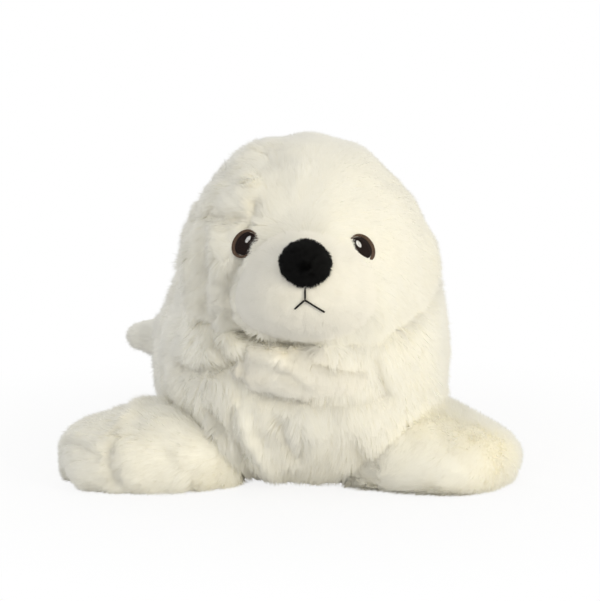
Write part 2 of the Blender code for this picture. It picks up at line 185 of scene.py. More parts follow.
# %% [markdown]
# ## Floor, background and lamps
# The photo's background is pure white, and its light is a warm soft lamp from the right and a weaker
# cool one from the left. One more behind the toy keeps its back from looking grey. The floor is pale and
# takes the toy's shadow. What the camera sees of it is
# lifted to white by a glow that grows away from the toy, so that no horizon shows.


# %% Set the stage
def stage_floor():
    paint = Finish("pale_floor")
    ray = paint.add("ShaderNodeLightPath")
    sockets = ray.socket.node.outputs
    seen = Wire(paint, sockets["Is Camera Ray"]) + Wire(paint, sockets["Is Glossy Ray"])
    place = paint.add("ShaderNodeNewGeometry")
    reach = paint.add("ShaderNodeVectorMath", {"operation": "LENGTH"}, {0: place}, out=1)
    fade = paint.add(
        "ShaderNodeMapRange", None, {"Value": reach, "From Min": 0.10, "From Max": 0.27, "To Min": 0.84}
    )
    pale = paint.add("ShaderNodeBsdfDiffuse", None, {"Color": (0.86, 0.86, 0.86, 1)})
    glow = paint.add("ShaderNodeEmission", None, {"Color": (1, 1, 1, 1), "Strength": 1})
    both = paint.add("ShaderNodeMixShader", None, {0: seen * fade, 1: pale, 2: glow})
    paint.add("ShaderNodeOutputMaterial", None, {"Surface": both})
    half = 12.0
    sheet = bpy.data.meshes.new("floor")
    corners = [(-half, -half, 0), (half, -half, 0), (half, half, 0), (-half, half, 0)]
    sheet.from_pydata(corners, [], [(0, 1, 2, 3)])
    sheet.materials.append(paint.material)
    floor = bpy.data.objects.new("floor", sheet)
    bpy.context.scene.collection.objects.link(floor)
    floor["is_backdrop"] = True


def stage_air(strength, colour):
    """The room around the toy: white to the camera, and an even soft light to the toy."""
    world = bpy.data.worlds.new("room")
    bpy.context.scene.world = world
    world.use_nodes = True
    nodes, links = world.node_tree.nodes, world.node_tree.links
    nodes.clear()
    path = nodes.new("ShaderNodeLightPath")
    white, soft = nodes.new("ShaderNodeBackground"), nodes.new("ShaderNodeBackground")
    white.inputs["Color"].default_value = (1, 1, 1, 1)
    soft.inputs["Color"].default_value = (*colour, 1)
    soft.inputs["Strength"].default_value = strength
    both, out = nodes.new("ShaderNodeMixShader"), nodes.new("ShaderNodeOutputWorld")
    links.new(path.outputs["Is Camera Ray"], both.inputs[0])
    links.new(soft.outputs[0], both.inputs[1])
    links.new(white.outputs[0], both.inputs[2])
    links.new(both.outputs[0], out.inputs["Surface"])


def hang_lamp(name, place, power, size, colour):
    """A soft box at that place, turned to the toy."""
    light = bpy.data.lights.new(name, "AREA")
    light.shape, light.size, light.energy, light.color = "DISK", size, power, colour
    lamp = bpy.data.objects.new(name, light)
    lamp.location = place
    lamp.rotation_euler = (LOOKED_AT - Vector(place)).to_track_quat("-Z", "Y").to_euler()
    bpy.context.scene.collection.objects.link(lamp)


stage_floor()
stage_air(0.72, (0.985, 0.99, 0.99))
hang_lamp("warm_lamp", (1.35, -1.15, 0.6), 13.4, 1.0, (1.0, 0.945, 0.79))
hang_lamp("cool_lamp", (-0.8, -1.5, 1.0), 4.8, 1.0, (0.98, 0.98, 0.95))
hang_lamp("back_lamp", (-0.3, 1.5, 1.0), 6, 1.0, (1.0, 0.985, 0.95))
print("floor, room and three lamps")

# %% [markdown]
# ## The finishes
# White pile isn't one flat white. A lock is painted darker and warmer at its root and lighter at its tip,
# as painted shade where the pile shades itself, darker still in creases, and each lock differs a little
# from the next. Each lock carries two numbers for that: how far along it a point lies, lowered in
# creases, and its own tone. Soft noise adds broad warm and cool areas. The backing cloth under the pile
# has the same colours and a fine nap.


# %% Mix the pile and thread finishes
def pile_finish(name, root, tip, warm, sheen=0.3, lets_through=None):
    """Loose pile: from a root colour, darker as painted shade, to a tip colour, with warmer areas. White
    fibre lets lamplight through.
    """
    finish = Finish(name)
    along = finish.add("ShaderNodeAttribute", {"attribute_name": "along"}, out=2)
    tone = finish.add("ShaderNodeAttribute", {"attribute_name": "tone"}, out=2)
    # Painted shade: the colour is darker towards each lock's root.
    lock = finish.mixed(along * 0.7 + tone * 0.3, root, tip)
    area = finish.noise(22 * MM)
    colour = finish.mixed(area * 0.6, lock, warm)
    face = finish.add("ShaderNodeNewGeometry", out=1)
    behind = Wire(finish, face.socket.node.outputs["Backfacing"])
    outward = finish.add("ShaderNodeVectorMath", {"operation": "SCALE"}, {0: face, "Scale": 1 - 2 * behind})
    return finish.cloth(
        Base_Color=colour,
        Roughness=0.85,
        Specular_IOR_Level=0.15,
        Sheen_Weight=sheen,
        Sheen_Roughness=0.5,
        Normal=outward,
        lets_through=lets_through,
    )


def backing_finish(name, root, warm, nap):
    """Backing cloth under the pile, with a fine nap as bump."""
    finish = Finish(name)
    area, fine = finish.noise(22 * MM), finish.noise(nap, 4.0)
    colour = finish.mixed(area * 0.6 + fine * 0.3, root, warm)
    bump = finish.add("ShaderNodeBump", None, {"Height": fine, "Strength": 0.5, "Distance": nap})
    return finish.cloth(
        Base_Color=colour, Roughness=0.9, Specular_IOR_Level=0.15, Sheen_Weight=0.1, Normal=bump
    )


def thread_finish(name, dark, light, roughness):
    """Embroidery thread: a slight gloss and a fine twist."""
    finish = Finish(name)
    tone = finish.add("ShaderNodeAttribute", {"attribute_name": "tone"}, out=2)
    fine = finish.noise(0.3 * MM, 2.0)
    colour = finish.mixed(tone * 0.6 + fine * 0.4, dark, light)
    bump = finish.add("ShaderNodeBump", None, {"Height": fine, "Strength": 0.4, "Distance": 0.1 * MM})
    return finish.cloth(Base_Color=colour, Roughness=roughness, Specular_IOR_Level=0.2, Normal=bump)


# The root colour is painted shade, darker where the pile shades itself.
LONG_SHADED_ROOT, LONG_TIP, LONG_WARM = (0.66, 0.64, 0.58, 1), (0.90, 0.89, 0.84, 1), (0.88, 0.85, 0.75, 1)
FIBRE_GLOW = (0.80, 0.79, 0.75, 1)
long_pile = pile_finish("long_pile", LONG_SHADED_ROOT, LONG_TIP, LONG_WARM, lets_through=FIBRE_GLOW)
long_backing = backing_finish("long_pile_backing", (0.78, 0.76, 0.69, 1), LONG_WARM, 1.5 * MM)
# The root colour is painted shade, darker where the pile shades itself.
SHORT_SHADED_ROOT, SHORT_TIP, SHORT_WARM = (0.66, 0.64, 0.58, 1), (0.90, 0.88, 0.82, 1), (0.89, 0.86, 0.78, 1)
short_pile = pile_finish("short_pile", SHORT_SHADED_ROOT, SHORT_TIP, SHORT_WARM, lets_through=FIBRE_GLOW)
short_backing = backing_finish("short_pile_backing", (0.84, 0.82, 0.76, 1), SHORT_WARM, 1 * MM)
# The root colour is painted shade, darker where the pile shades itself.
NOSE_SHADED_ROOT, NOSE_TIP = (0.003, 0.003, 0.003, 1), (0.012, 0.012, 0.012, 1)
NOSE_MIDDLE = (0.006, 0.006, 0.006, 1)
nose_pile = pile_finish("nose_pile", NOSE_SHADED_ROOT, NOSE_TIP, NOSE_MIDDLE, 0.05)
nose_backing = backing_finish("nose_backing", (0.004, 0.004, 0.004, 1), (0.008, 0.008, 0.008, 1), 1 * MM)
brown_thread = thread_finish("brown_thread", (0.055, 0.032, 0.02, 1), (0.15, 0.095, 0.065, 1), 0.6)
dark_thread = thread_finish("dark_thread", (0.006, 0.002, 0.0015, 1), (0.016, 0.006, 0.004, 1), 0.6)
white_thread = thread_finish("white_thread", (0.78, 0.77, 0.75, 1), (0.92, 0.92, 0.91, 1), 0.5)
mouth_thread = thread_finish("mouth_thread", (0.006, 0.005, 0.005, 1), (0.02, 0.018, 0.017, 1), 0.55)
print("finishes:", len(bpy.data.materials))

# %% [markdown]
# ## Covers, cut and stuffed
# Each stuffed piece is a sewn cover that its filling pushes out against the seams. The solid has the
# right size, but its faces are large. A voxel remesh gives even small faces, a cloth simulation with
# air pressure plumps the cover between its seams, and one subdivision makes it smooth. How far a point
# may move is capped, so that the toy keeps its size. Points next to another piece are held, as a seam.


# %% Sew and stuff the covers
STUFFING_FRAMES = 20
COVER_SETS = {
    "body": (4.0, 1.2, long_backing, "long_pile"),
    "head": (3.2, 1.0, long_backing, "long_pile"),
    "fore_flipper_right": (3.0, 1.3, long_backing, "long_pile"),
    "fore_flipper_left": (3.0, 1.3, long_backing, "long_pile"),
    "hind_flipper_right": (3.0, 1.5, long_backing, "long_pile"),
    "hind_flipper_left": (3.0, 1.5, long_backing, "long_pile"),
    "muzzle": (2.4, 1.0, short_backing, "short_pile"),
    "chin_fold": (2.4, 1.0, short_backing, "short_pile"),
    "nose": (1.0, 0.3, nose_backing, "nose_pile"),
}


def shown_mesh(piece):
    """The piece's mesh with what its modifiers do to it."""
    ready = piece.evaluated_get(bpy.context.evaluated_depsgraph_get())
    return bpy.data.meshes.new_from_object(ready)


def settle(piece):
    """Puts what the modifiers do into the mesh itself."""
    finished = shown_mesh(piece)
    piece.modifiers.clear()
    piece.data = finished


def corners_of(mesh):
    places = np.empty(len(mesh.vertices) * 3, np.float32)
    mesh.vertices.foreach_get("co", places)
    return places.reshape(-1, 3).astype(float)


def put_corners(mesh, places):
    mesh.vertices.foreach_set("co", places.astype(np.float32).ravel())
    mesh.update()


def ball_tree(mesh):
    """A search tree of a mesh's faces."""
    return BVHTree.FromPolygons([v.co for v in mesh.vertices], [p.vertices for p in mesh.polygons])


cad_trees = {name: ball_tree(node.data) for name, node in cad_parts.items() if name in COVER_SETS}


def stuff(piece, node, most):
    """Plumps the cover with air pressure. Points near another piece are its seam and stay."""
    start = corners_of(piece.data)
    seam = piece.vertex_groups.new(name="seam")
    others = [tree for name, tree in cad_trees.items() if name != node]
    held = [i for i, p in enumerate(start) if any(t.find_nearest(p, 4 * MM)[0] for t in others)]
    seam.add(held, 1.0, "REPLACE")
    cloth = piece.modifiers.new("stuffing", "CLOTH")
    cloth.settings.use_pressure = True
    cloth.settings.uniform_pressure_force = 4
    cloth.settings.effector_weights.gravity = 0
    if held:
        cloth.settings.vertex_group_mass = "seam"
    cloth.point_cache.frame_start, cloth.point_cache.frame_end = 1, STUFFING_FRAMES
    for number in range(1, STUFFING_FRAMES + 1):
        bpy.context.scene.frame_set(number)
    settle(piece)
    bpy.context.scene.frame_set(1)
    moved = corners_of(piece.data) - start
    far = np.linalg.norm(moved, axis=1, keepdims=True)
    put_corners(piece.data, start + moved * np.minimum(1, most / np.maximum(far, 1e-9)))
    return float(far.max())


def sew_cover(node, voxel, most, finish):
    """One stuffed piece in the place of its solid."""
    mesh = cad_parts[node].data.copy()
    piece = bpy.data.objects.new(node + "_cover", mesh)
    bpy.context.scene.collection.objects.link(piece)
    even = piece.modifiers.new("even", "REMESH")
    even.mode, even.voxel_size = "VOXEL", voxel
    soft = piece.modifiers.new("soft", "SMOOTH")
    soft.factor, soft.iterations = 0.5, 4
    settle(piece)
    stuff(piece, node, most)
    fine = piece.modifiers.new("fine", "SUBSURF")
    fine.levels = fine.render_levels = 1
    settle(piece)
    piece.data.materials.clear()
    piece.data.materials.append(finish)
    piece.data.shade_smooth()
    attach(piece, "root")
    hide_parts(node)
    return piece


covers = {
    node: sew_cover(node, voxel * MM, most * MM, finish)
    for node, (voxel, most, finish, slot_name) in COVER_SETS.items()
}
print("covers:", {name: len(piece.data.polygons) for name, piece in covers.items()})

# %% [markdown]
# ## Where the photo shows something
# Tufts and creases are easiest to name by where the photo shows them. A ray from the camera through that
# pixel meets the toy at the place itself, so the feature sits on the cover and is right from all sides.

# %% Find places on the toy by pixel
whole_tree = BVHTree.FromPolygons(
    [v.co for piece in covers.values() for v in piece.data.vertices],
    [
        [first + i for i in p.vertices]
        for first, piece in zip(
            np.cumsum([0] + [len(c.data.vertices) for c in covers.values()]).tolist(), covers.values()
        )
        for p in piece.data.polygons
    ],
)


def seen_at(across, down):
    """The point of the toy that the photo shows at that pixel, or the nearest to it."""
    target = LOOKED_AT + to_right * ((across - CENTRE_ACROSS) / PIXELS_A_METRE)
    target = target + to_top * ((CENTRE_DOWN - down) / PIXELS_A_METRE)
    ray = (target - eye_point).normalized()
    hit = whole_tree.ray_cast(eye_point, ray)[0]
    if hit:
        return hit
    stops = [eye_point + ray * (0.9 + 0.01 * i) for i in range(45)]
    near = [whole_tree.find_nearest(stop) for stop in stops]
    return min(near, key=lambda found: found[3])[0]


print("nose is at", [round(x / MM, 1) for x in seen_at(305.5, 262)], "mm")

# %% [markdown]
# ## Tufts and creases
# The toy isn't evenly round. On its right side the pile stands in tufts over the eye and hangs in locks
# like a drooping ear, and the muzzle, the chin and the chest are parted by creases. Each is a short path
# over the cover. A tuft lifts the cover along its path and a crease sinks it, both fading with distance.

# %% List the tufts and creases
# Each has its path in the photo's pixels, its reach and its height or depth in millimetres.
TUFT_PATHS = {
    "brow": ([(216, 204), (226, 188), (244, 186), (254, 200)], 9.0, 1.0),
    "crown_right": ([(232, 172), (252, 158), (270, 150)], 9.0, 0.6),
    "cheek": ([(222, 228), (224, 246), (222, 262)], 7.0, 0.8),
    "ear_lock": ([(187, 262), (187, 300), (194, 335), (207, 358)], 9.0, 0.6),
    "jaw_lock": ([(222, 316), (227, 334), (234, 350)], 5.5, 2.8),
    "forehead_wisp": ([(301, 168), (297, 184), (295, 200)], 3.0, 0.5),
    "chin_tuft_right": ([(252, 352), (266, 355), (278, 357)], 4.6, 3.2),
    "chin_tuft_left": ([(321, 351), (335, 351), (350, 353)], 4.6, 3.2),
    "chest_lock": ([(241, 418), (255, 445), (272, 472)], 4.5, 2.6),
    "chest_clump_a": ([(300, 415), (312, 432)], 8.0, 2.4),
    "chest_clump_b": ([(338, 412), (350, 430)], 8.0, 2.0),
    "chest_clump_c": ([(222, 436), (232, 458)], 6.0, 2.2),
    "flipper_ridge": ([(150, 402), (134, 416), (114, 438)], 4.5, 2.2),
    "flipper_lobe": ([(140, 455), (165, 440), (205, 440)], 13.0, 1.6),
    "shoulder_left": ([(420, 330), (428, 360), (430, 385)], 12.0, 0.8),
    "bib_corner": ([(237, 370), (243, 375)], 3.0, 2.2),
    "crown_left": ([(398, 180), (408, 197)], 9.0, 1.8),
    "cheek_far": ([(433, 242), (439, 263)], 9.0, 3.0),
    "cheek_left": ([(352, 262), (374, 286), (381, 310), (372, 332)], 7.0, 1.6),
}
CREASE_PATHS = {
    "over_eye": ([(257, 206), (256, 216), (250, 226)], 2.6, 4.0),
    "under_brow": ([(212, 214), (228, 219), (246, 218)], 2.4, 3.2),
    "parting": ([(288, 134), (277, 160), (268, 190), (264, 218)], 6.0, 0.5),
    "behind_cheek": ([(206, 236), (203, 262), (206, 290), (213, 315)], 4.0, 2.4),
    "ear_inner": ([(207, 270), (206, 305), (214, 340), (221, 358)], 3.2, 2.8),
    "under_ear": ([(180, 366), (200, 371), (216, 369), (233, 362)], 3.2, 4.2),
    "muzzle_side": ([(240, 260), (230, 277), (227, 298), (233, 318), (245, 333)], 3.2, 4.0),
    "under_chin": ([(245, 335), (264, 341), (290, 342), (311, 344), (345, 343), (372, 340)], 2.2, 3.4),
    "under_tuft": ([(309, 347), (318, 359), (340, 366), (362, 367)], 1.5, 2.4),
    "bib_right": ([(247, 346), (243, 370), (239, 396)], 2.6, 2.0),
    "bib_left": ([(373, 353), (379, 371), (386, 392)], 2.0, 2.4),
    "bib_bottom": ([(252, 393), (288, 399), (330, 399), (386, 395)], 2.6, 3.0),
    "flipper_heel": ([(60, 484), (74, 489)], 5.0, 4.5),
    "bib_fold": ([(262, 376), (275, 369), (292, 373), (305, 384)], 2.2, 0.8),
    "armpit_right": ([(210, 412), (216, 420), (222, 428)], 3.4, 9.0),
    "chest_side": ([(232, 408), (236, 436), (247, 462), (258, 480)], 2.0, 2.2),
    "chest_mid": ([(283, 420), (290, 440), (300, 455)], 2.0, 1.8),
    "armpit_left": ([(352, 440), (362, 455), (380, 474)], 2.6, 2.0),
    "flipper_edge": ([(121, 430), (112, 448), (113, 464), (118, 478)], 3.0, 2.0),
    "flipper_outer": ([(70, 440), (86, 448), (100, 456)], 2.4, 1.0),
}


def placed(paths):
    """Each path with its pixels turned into places on the toy, and its sizes into metres."""
    return {
        name: (np.array([seen_at(*pixel) for pixel in path]), reach * MM, height * MM)
        for name, (path, reach, height) in paths.items()
    }


def to_path(points, path):
    """For each point, the step to the nearest place of the path, and the path's direction there."""
    best = np.full(len(points), np.inf)
    step, heading = np.zeros_like(points), np.zeros_like(points)
    for a, b in zip(path[:-1], path[1:]):
        run = b - a
        share = np.clip((points - a) @ run / (run @ run), 0, 1)[:, None]
        towards = a + share * run - points
        far = (towards**2).sum(axis=1)
        closer = far < best
        best[closer], step[closer], heading[closer] = far[closer], towards[closer], run / np.linalg.norm(run)
    return step, heading


def unit(vectors):
    return vectors / np.maximum(np.linalg.norm(vectors, axis=1, keepdims=True), 1e-12)


def hold_of(step, reach):
    """How much a tuft or crease of that reach acts at those steps from it, from 1 down to 0."""
    return np.exp(-((step**2).sum(axis=1)) / (reach * reach))


tufts, creases = placed(TUFT_PATHS), placed(CREASE_PATHS)
print(len(tufts), "tufts and", len(creases), "creases")

# %% [markdown]
# ## Where the pile is long and untidy
# Pile on the toy's right side of the head is long and tousled. Between the eyes, on the muzzle and on the
# toy's left it is short and smooth. A number from 0, brushed smooth, to 1, tousled, says so for any point.
# The dents in the cover, the length of the pile and how far it wanders all follow that one number.


# %% Say how tousled each piece is
def smooth_step(value, low, high):
    share = np.clip((value - low) / (high - low), 0, 1)
    return share * share * (3 - 2 * share)


def even(value):
    return lambda points: np.full(len(points), value)


def mess_head(points):
    right = smooth_step(-points[:, 0], 2 * MM, 32 * MM)
    behind = smooth_step(points[:, 1], -60 * MM, -25 * MM)
    return np.maximum(0.12 + 0.78 * right, 0.55 * behind)


def mess_body(points):
    behind = smooth_step(points[:, 1], -40 * MM, 0)
    return np.maximum(0.25 + 0.6 * smooth_step(-points[:, 0], -45 * MM, 20 * MM), 0.5 * behind)


TOUSLED = {
    "head": mess_head,
    "body": mess_body,
    "fore_flipper_right": even(0.6),
    "fore_flipper_left": even(0.35),
    "hind_flipper_right": even(0.6),
    "hind_flipper_left": even(0.6),
    "muzzle": even(0.3),
    "chin_fold": even(0.5),
    "nose": even(0.8),
}
print("tousled:", {node: round(float(mess(np.zeros((1, 3)))[0]), 2) for node, mess in TOUSLED.items()})

# %% [markdown]
# ## The fold over the right eye
# In the photo the right eye ends in a straight line at its lower inner edge, because the fabric beside
# the muzzle folds over the stitches there. Longer pile alone lies flat on its cover and wouldn't hide a
# domed eye. So the cover itself is raised past a line through two pixels of the photo, and pile grows on
# the fold as it does elsewhere.


# %% Find the fold over the right eye
def field_axes(node):
    """The middle of a flat field, and its long way, short way and outward way with half sizes."""
    points = corners_of(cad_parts[node].data)
    middle = (points.min(axis=0) + points.max(axis=0)) / 2
    spread = np.linalg.svd(points - points.mean(axis=0), full_matrices=False)[2]
    away = spread[2] * (1 if spread[2][1] < 0 else -1)
    sizes = [np.ptp((points - middle) @ way) / 2 for way in spread[:2]]
    lows = [((points - middle) @ way).min() for way in spread[:2]]
    middle = middle + sum(way * low + way * size for way, low, size in zip(spread[:2], lows, sizes))
    return middle, spread[0], spread[1], away, sizes


LID_HEIGHT = 1.5 * MM
LID_REACH = 16 * MM
LID_ENDS = (262, 235), (243, 258)
nose_middle = np.array(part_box("nose")).mean(axis=0)
lid_start, lid_end = (np.array(seen_at(*pixel)) for pixel in LID_ENDS)
lid_middle = (lid_start + lid_end) / 2
lid_inwards = unit(np.cross(field_axes("eye_rim_right")[3], lid_end - lid_start)[None])[0]
if lid_inwards @ (nose_middle - lid_start) < 0:
    lid_inwards = -lid_inwards


def past_lid(points, soft=0.0):
    """From 0 to 1, how far each point by the right eye lies past the straight edge of the fold over it."""
    near = np.linalg.norm(points - lid_middle, axis=1) < LID_REACH
    return smooth_step((points - lid_start) @ lid_inwards, -soft, soft + 0.1 * MM) * near


def raise_lid(points, out):
    """Folds the cover a little over the lower inner edge of the right eye."""
    near = hold_of(points - lid_middle - lid_inwards * 3 * MM, 7 * MM)
    return points + out * (near * past_lid(points, 0.8 * MM) * LID_HEIGHT)[:, None]


print("the fold over the right eye runs", round(np.linalg.norm(lid_end - lid_start) / MM, 1), "mm")

# %% [markdown]
# ## Relief in the covers
# A stuffed toy that has been handled has soft dents between clumps of pile. The solids of the head and
# the body have the broad folds already, and these are evened out where the pile is brushed smooth. Smooth
# noise of the size of a clump makes the finer dents, and the creases and tufts come on top. Where pile
# closes over a seam, the covers on both sides are raised to fill it, though less beside the left eye.
# Every point moves along its own normal, and nothing goes under the floor.

# %% Shape the covers
# Sizes of the dents, and how high they are where the pile is tousled.
DENT_SIZE, DENT_HEIGHT = 8 * MM, 0.7
BROAD_SIZE, BROAD_HEIGHT = 20 * MM, 1.2
NOSE_DENT_SIZE, NOSE_DENT_HEIGHT, NOSE_SUNK, NOSE_SHARE = 3 * MM, 0.6, 1.1, 0.4
COVER_ABOVE_FLOOR = 0.6 * MM
# How much each cover is raised beside its neighbours, in millimetres, and how soon that fades.
SOFT_SEAMS = {
    "head": [("muzzle", 4.2), ("body", 2.0)],
    "body": [("head", 3.6), ("chin_fold", 2.0), ("fore_flipper_left", 3.0)],
    "chin_fold": [("muzzle", 0.5)],
    "fore_flipper_left": [("body", 3.0)],
}
SEAM_FADE, EYE_FREE = 9 * MM, 14 * MM
NECK_HEIGHT, NECK_REACH, NECK_DEPTH = 92 * MM, 22 * MM, 3.5 * MM


# Vector noise takes its offsets from the clock unless it is given a seed.
noise.seed_set(7)


def wander(points, size, seed):
    """A smooth random direction at each point, which changes over that size."""
    shift = Vector((seed * 7.31, seed * 3.17, seed * 5.73))
    return np.array([noise.noise_vector(Vector(p) / size + shift) for p in points])


def normals_of(mesh):
    out = np.empty(len(mesh.vertices) * 3, np.float32)
    mesh.vertex_normals.foreach_get("vector", out)
    return out.reshape(-1, 3).astype(float)


def nape(points):
    """From 0 at the face to 1 at the back of the neck and behind it."""
    return smooth_step(points[:, 1], -45 * MM, -20 * MM)


def brush_calm(node, piece):
    """Evens the folds out where the pile is brushed smooth."""
    calm = np.clip(1 - 1.4 * TOUSLED[node](corners_of(piece.data)), 0, 1)
    group = piece.vertex_groups.new(name="calm")
    for i in np.flatnonzero(calm > 0.02).tolist():
        group.add([i], float(calm[i]), "REPLACE")
    even_out = piece.modifiers.new("calm", "SMOOTH")
    even_out.factor, even_out.iterations, even_out.vertex_group = 0.5, 50, "calm"
    settle(piece)


def shape_cover(node, piece):
    """Moves the cover's points along their normals: dents, tufts, creases and the fold over the eye."""
    points, out = corners_of(piece.data), normals_of(piece.data)
    dent = TOUSLED[node](points) * MM * (NOSE_SHARE if node == "nose" else 1)
    rise = wander(points, DENT_SIZE, 4)[:, 0] * dent * DENT_HEIGHT
    if node not in ("head", "body"):
        rise += wander(points, BROAD_SIZE, 3)[:, 0] * dent * BROAD_HEIGHT
    if node == "nose":
        rise += (wander(points, NOSE_DENT_SIZE, 5)[:, 0] * NOSE_DENT_HEIGHT - NOSE_SUNK) * MM
    else:
        for path, reach, height in tufts.values():
            rise += height * hold_of(to_path(points, path)[0], reach)
        sunk = np.zeros(len(points))
        for path, reach, depth in creases.values():
            sunk = np.maximum(sunk, depth * hold_of(to_path(points, path)[0], reach))
        rise -= sunk
    points += out * rise[:, None]
    if node in ("head", "muzzle"):
        points = raise_lid(points, out)
    points[:, 2] = np.maximum(points[:, 2], COVER_ABOVE_FLOOR)
    put_corners(piece.data, points)
    return rise


def fill_seams(node, piece):
    """Raises a cover at a seam that long pile hides, and draws the toy's right side in at the neck."""
    points, out = corners_of(piece.data), normals_of(piece.data)
    where = np.maximum(smooth_step(points[:, 0], -12 * MM, 12 * MM), nape(points))
    where = where * (1 - 0.5 * hold_of(points - field_axes("eye_rim_left")[0], EYE_FREE))
    for neighbour, height in SOFT_SEAMS.get(node, []):
        far = np.array([base_trees[neighbour].find_nearest(p)[3] for p in points])
        points = points + out * (np.exp(-far / SEAM_FADE) * where * height * MM)[:, None]
    if node in ("head", "body"):
        slim = smooth_step(-points[:, 0], 52 * MM, 68 * MM) * hold_of(points[:, 2:] - NECK_HEIGHT, NECK_REACH)
        points = points - out * (slim * NECK_DEPTH)[:, None]
    put_corners(piece.data, points)


for node in ("head", "body"):
    brush_calm(node, covers[node])
base_trees = {node: ball_tree(piece.data) for node, piece in covers.items()}
for node, piece in covers.items():
    fill_seams(node, piece)
    rise = shape_cover(node, piece)
    print(node, "relief", round(rise.min() / MM, 1), "to", round(rise.max() / MM, 1), "mm")
cover_trees = {node: ball_tree(piece.data) for node, piece in covers.items()}

# %% [markdown]
# ## Eyes, in satin stitch
# Each eye is three fields of embroidery: a brown rim, a dark pupil and a small white glint. Satin stitch
# is rows of thread laid side by side, across the field's short way. Each thread is a thin tube laid on
# the field's own solid: a ray from in front finds the solid's face, and the tube's ends dive into it.
# The rim's threads run outwards all round, as on a buttonhole.


# %% Lay the threads of the eyes
def laid_on(tree, point, away, lift):
    """That point, moved onto the solid's face and lifted a little."""
    hit = tree.ray_cast(Vector(point + away * 20 * MM), Vector(-away))[0]
    return np.array(hit) + away * lift if hit else None


def tube_mesh(name, runs, radius, sides=6):
    """Many threads in one mesh. Each run is its points, and its ends are thin."""
    verts, faces, tones = [], [], []
    rng = np.random.default_rng(5)
    for run in runs:
        run = np.array(run)
        along = unit(np.gradient(run, axis=0))
        across = unit(np.cross(along, run.mean(axis=0) - np.array([0, 0.2, 0.08])))
        up = np.cross(across, along)
        first, tone = len(verts), rng.random()
        for i, place in enumerate(run):
            thick = radius * (0.45 if i in (0, len(run) - 1) else 1)
            for k in range(sides):
                turn = 2 * math.pi * k / sides
                verts.append(place + (across[i] * math.cos(turn) + up[i] * math.sin(turn)) * thick)
                tones.append(tone)
        for i in range(len(run) - 1):
            for k in range(sides):
                a, b = first + i * sides + k, first + i * sides + (k + 1) % sides
                faces.append((a, b, b + sides, a + sides))
        faces.append(tuple(first + k for k in reversed(range(sides))))
        faces.append(tuple(first + (len(run) - 1) * sides + k for k in range(sides)))
    mesh = bpy.data.meshes.new(name)
    mesh.from_pydata(verts, [], faces)
    mesh.attributes.new("tone", "FLOAT", "POINT").data.foreach_set("value", tones)
    return mesh


def join_solid(mesh, node):
    """The threads together with their field's own solid under them, as one mesh."""
    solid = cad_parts[node].data
    verts = [v.co for v in mesh.vertices] + [v.co for v in solid.vertices]
    first = len(mesh.vertices)
    faces = [tuple(p.vertices) for p in mesh.polygons]
    faces += [tuple(first + i for i in p.vertices) for p in solid.polygons]
    tones = [d.value for d in mesh.attributes["tone"].data] + [0.2] * len(solid.vertices)
    whole = bpy.data.meshes.new(mesh.name)
    whole.from_pydata(verts, [], faces)
    whole.attributes.new("tone", "FLOAT", "POINT").data.foreach_set("value", tones)
    return whole


def sewn_piece(name, mesh, node, finish):
    piece = bpy.data.objects.new(name, mesh)
    bpy.context.scene.collection.objects.link(piece)
    mesh.materials.append(finish)
    mesh.shade_smooth()
    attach(piece, "root")
    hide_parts(node)
    return piece


THREAD = 0.2 * MM
ROW_STEP = 0.34 * MM


def satin_rows(node, slant):
    """Rows of thread across an oval field."""
    middle, long_way, short_way, away, (half_long, half_short) = field_axes(node)
    tree = ball_tree(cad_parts[node].data)
    row_way = unit((short_way * math.cos(slant) + long_way * math.sin(slant))[None])[0]
    step_way = np.cross(away, row_way)
    reach = math.hypot(half_long * (step_way @ long_way), half_short * (step_way @ short_way))
    runs = []
    for shift in np.arange(-reach, reach, ROW_STEP):
        line = [middle + step_way * shift + row_way * t for t in np.linspace(-half_long, half_long, 41)]
        steps = [((p - middle) @ long_way / half_long, (p - middle) @ short_way / half_short) for p in line]
        inside = [p for p, (u, v) in zip(line, steps) if u**2 + v**2 < 0.97]
        if len(inside) < 3:
            continue
        inside = [inside[round(k)] for k in np.linspace(0, len(inside) - 1, min(7, len(inside)))]
        laid = [laid_on(tree, p, away, 0.06 * MM) for p in inside]
        laid = [p for p in laid if p is not None]
        if len(laid) > 2:
            laid[0], laid[-1] = laid[0] - away * 0.25 * MM, laid[-1] - away * 0.25 * MM
            runs.append(laid)
    return runs


def rim_rows(node, width):
    """Threads that run outwards all round an oval rim."""
    middle, long_way, short_way, away, (half_long, half_short) = field_axes(node)
    tree = ball_tree(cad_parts[node].data)
    around = 2 * math.pi * math.sqrt((half_long**2 + half_short**2) / 2)
    runs = []
    for k in range(round(around / ROW_STEP)):
        turn = 2 * math.pi * k / round(around / ROW_STEP)
        laid = []
        for share in (0.05, 0.35, 0.65, 0.95):
            inwards = width * (1 - share)
            lean = turn + 0.05 * share
            place = middle + long_way * (half_long - inwards) * math.cos(lean)
            place = place + short_way * (half_short - inwards) * math.sin(lean)
            laid.append(laid_on(tree, place, away, 0.06 * MM))
        if all(p is not None for p in laid):
            laid[0], laid[-1] = laid[0] - away * 0.2 * MM, laid[-1] - away * 0.25 * MM
            runs.append(laid)
    return runs


RIM_WIDTH = 1.5 * MM
for side in ("right", "left"):
    for kind, rows, finish, slot_name in (
        ("rim", rim_rows("eye_rim_" + side, RIM_WIDTH), brown_thread, "brown_thread"),
        ("pupil", satin_rows("eye_pupil_" + side, 0.3), dark_thread, "dark_thread"),
        ("glint", satin_rows("eye_glint_" + side, -0.4), white_thread, "white_thread"),
    ):
        node = f"eye_{kind}_{side}"
        mesh = join_solid(tube_mesh(node + "_stitches", rows, THREAD), node)
        sewn_piece(node + "_stitches", mesh, node, finish)
        print(node, len(rows), "threads")

# %% [markdown]
# ## The mouth
# The mouth is three strokes of black thread, each a close row of short slanted stitches that sinks into
# the pile. Each stitch is a short tube that crosses its stroke's line at a small angle.


